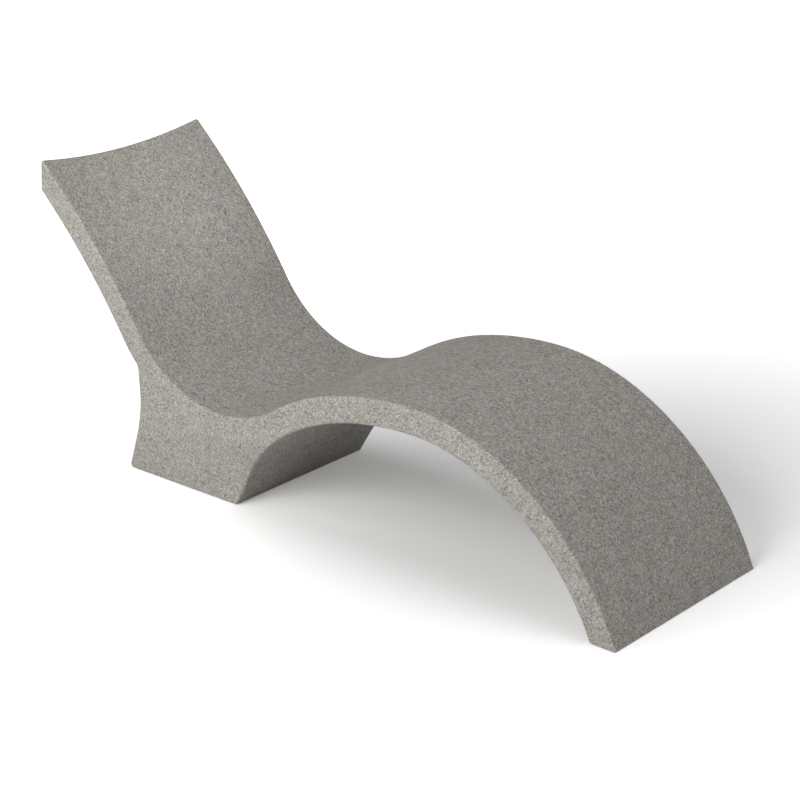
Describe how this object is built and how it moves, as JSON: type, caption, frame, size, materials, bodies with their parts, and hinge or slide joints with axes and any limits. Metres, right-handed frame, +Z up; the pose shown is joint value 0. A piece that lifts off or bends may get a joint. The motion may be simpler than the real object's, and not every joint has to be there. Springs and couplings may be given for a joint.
{
  "type": "pool chaise longue",
  "caption": "One-piece hollow in-pool chaise with a raked back, a seat hollow, a leg arch down to the floor and a pedestal base, filled with water through screw plugs.",
  "frame": {"origin": "on the floor under the middle of the chair's length and width", "axes": "+X from the head to the foot, +Y across the chair, +Z up"},
  "size_m": [1.8551, 0.56, 0.8099],
  "materials": {
    "shell": "matte speckled stone-grey polyethylene, rotationally moulded",
    "insert": "turned brass, dull",
    "plug": "dark grey moulded nylon, satin",
    "seal": "black rubber"
  },
  "bodies": {
    "chaise": {"body_shell": "shell", "fill_port_insert": "insert", "base_drain_insert": "insert", "leg_drain_insert": "insert"},
    "fill_plug_seal": {"fill_plug_seal": "seal"},
    "fill_plug": {"fill_plug": "plug"},
    "base_drain_plug_seal": {"base_drain_plug_seal": "seal"},
    "base_drain_plug": {"base_drain_plug": "plug"},
    "leg_drain_plug_seal": {"leg_drain_plug_seal": "seal"},
    "leg_drain_plug": {"leg_drain_plug": "plug"}
  },
  "joints": [
    {"name": "fill_plug_lift", "type": "slide", "parent": "chaise", "child": "fill_plug_seal", "axis": [-0.7226, 0, -0.6913], "range_m": [0, 0.0181]},
    {"name": "fill_plug_turn", "type": "hinge", "parent": "fill_plug_seal", "child": "fill_plug", "pos_m": [-0.87323, 0, 0.67571], "axis": [-0.7226, 0, -0.6913], "range_deg": [0, 1440]},
    {"name": "base_drain_plug_lift", "type": "slide", "parent": "chaise", "child": "base_drain_plug_seal", "axis": [-0.8788, 0, 0.4772], "range_m": [0, 0.0181]},
    {"name": "base_drain_plug_turn", "type": "hinge", "parent": "base_drain_plug_seal", "child": "base_drain_plug", "pos_m": [-0.65951, 0, 0.064], "axis": [-0.8788, 0, 0.4772], "range_deg": [0, 1440]},
    {"name": "leg_drain_plug_lift", "type": "slide", "parent": "chaise", "child": "leg_drain_plug_seal", "axis": [-0.8488, 0, -0.5288], "range_m": [0, 0.0181]},
    {"name": "leg_drain_plug_turn", "type": "hinge", "parent": "leg_drain_plug_seal", "child": "leg_drain_plug", "pos_m": [0.80945, 0, 0.084], "axis": [-0.8488, 0, -0.5288], "range_deg": [0, 1440]}
  ],
  "couplings": [
    {"joint": "fill_plug_lift", "follows": "fill_plug_turn", "m_per_rad": 0.0007162},
    {"joint": "base_drain_plug_lift", "follows": "base_drain_plug_turn", "m_per_rad": 0.0007162},
    {"joint": "leg_drain_plug_lift", "follows": "leg_drain_plug_turn", "m_per_rad": 0.0007162}
  ]
}
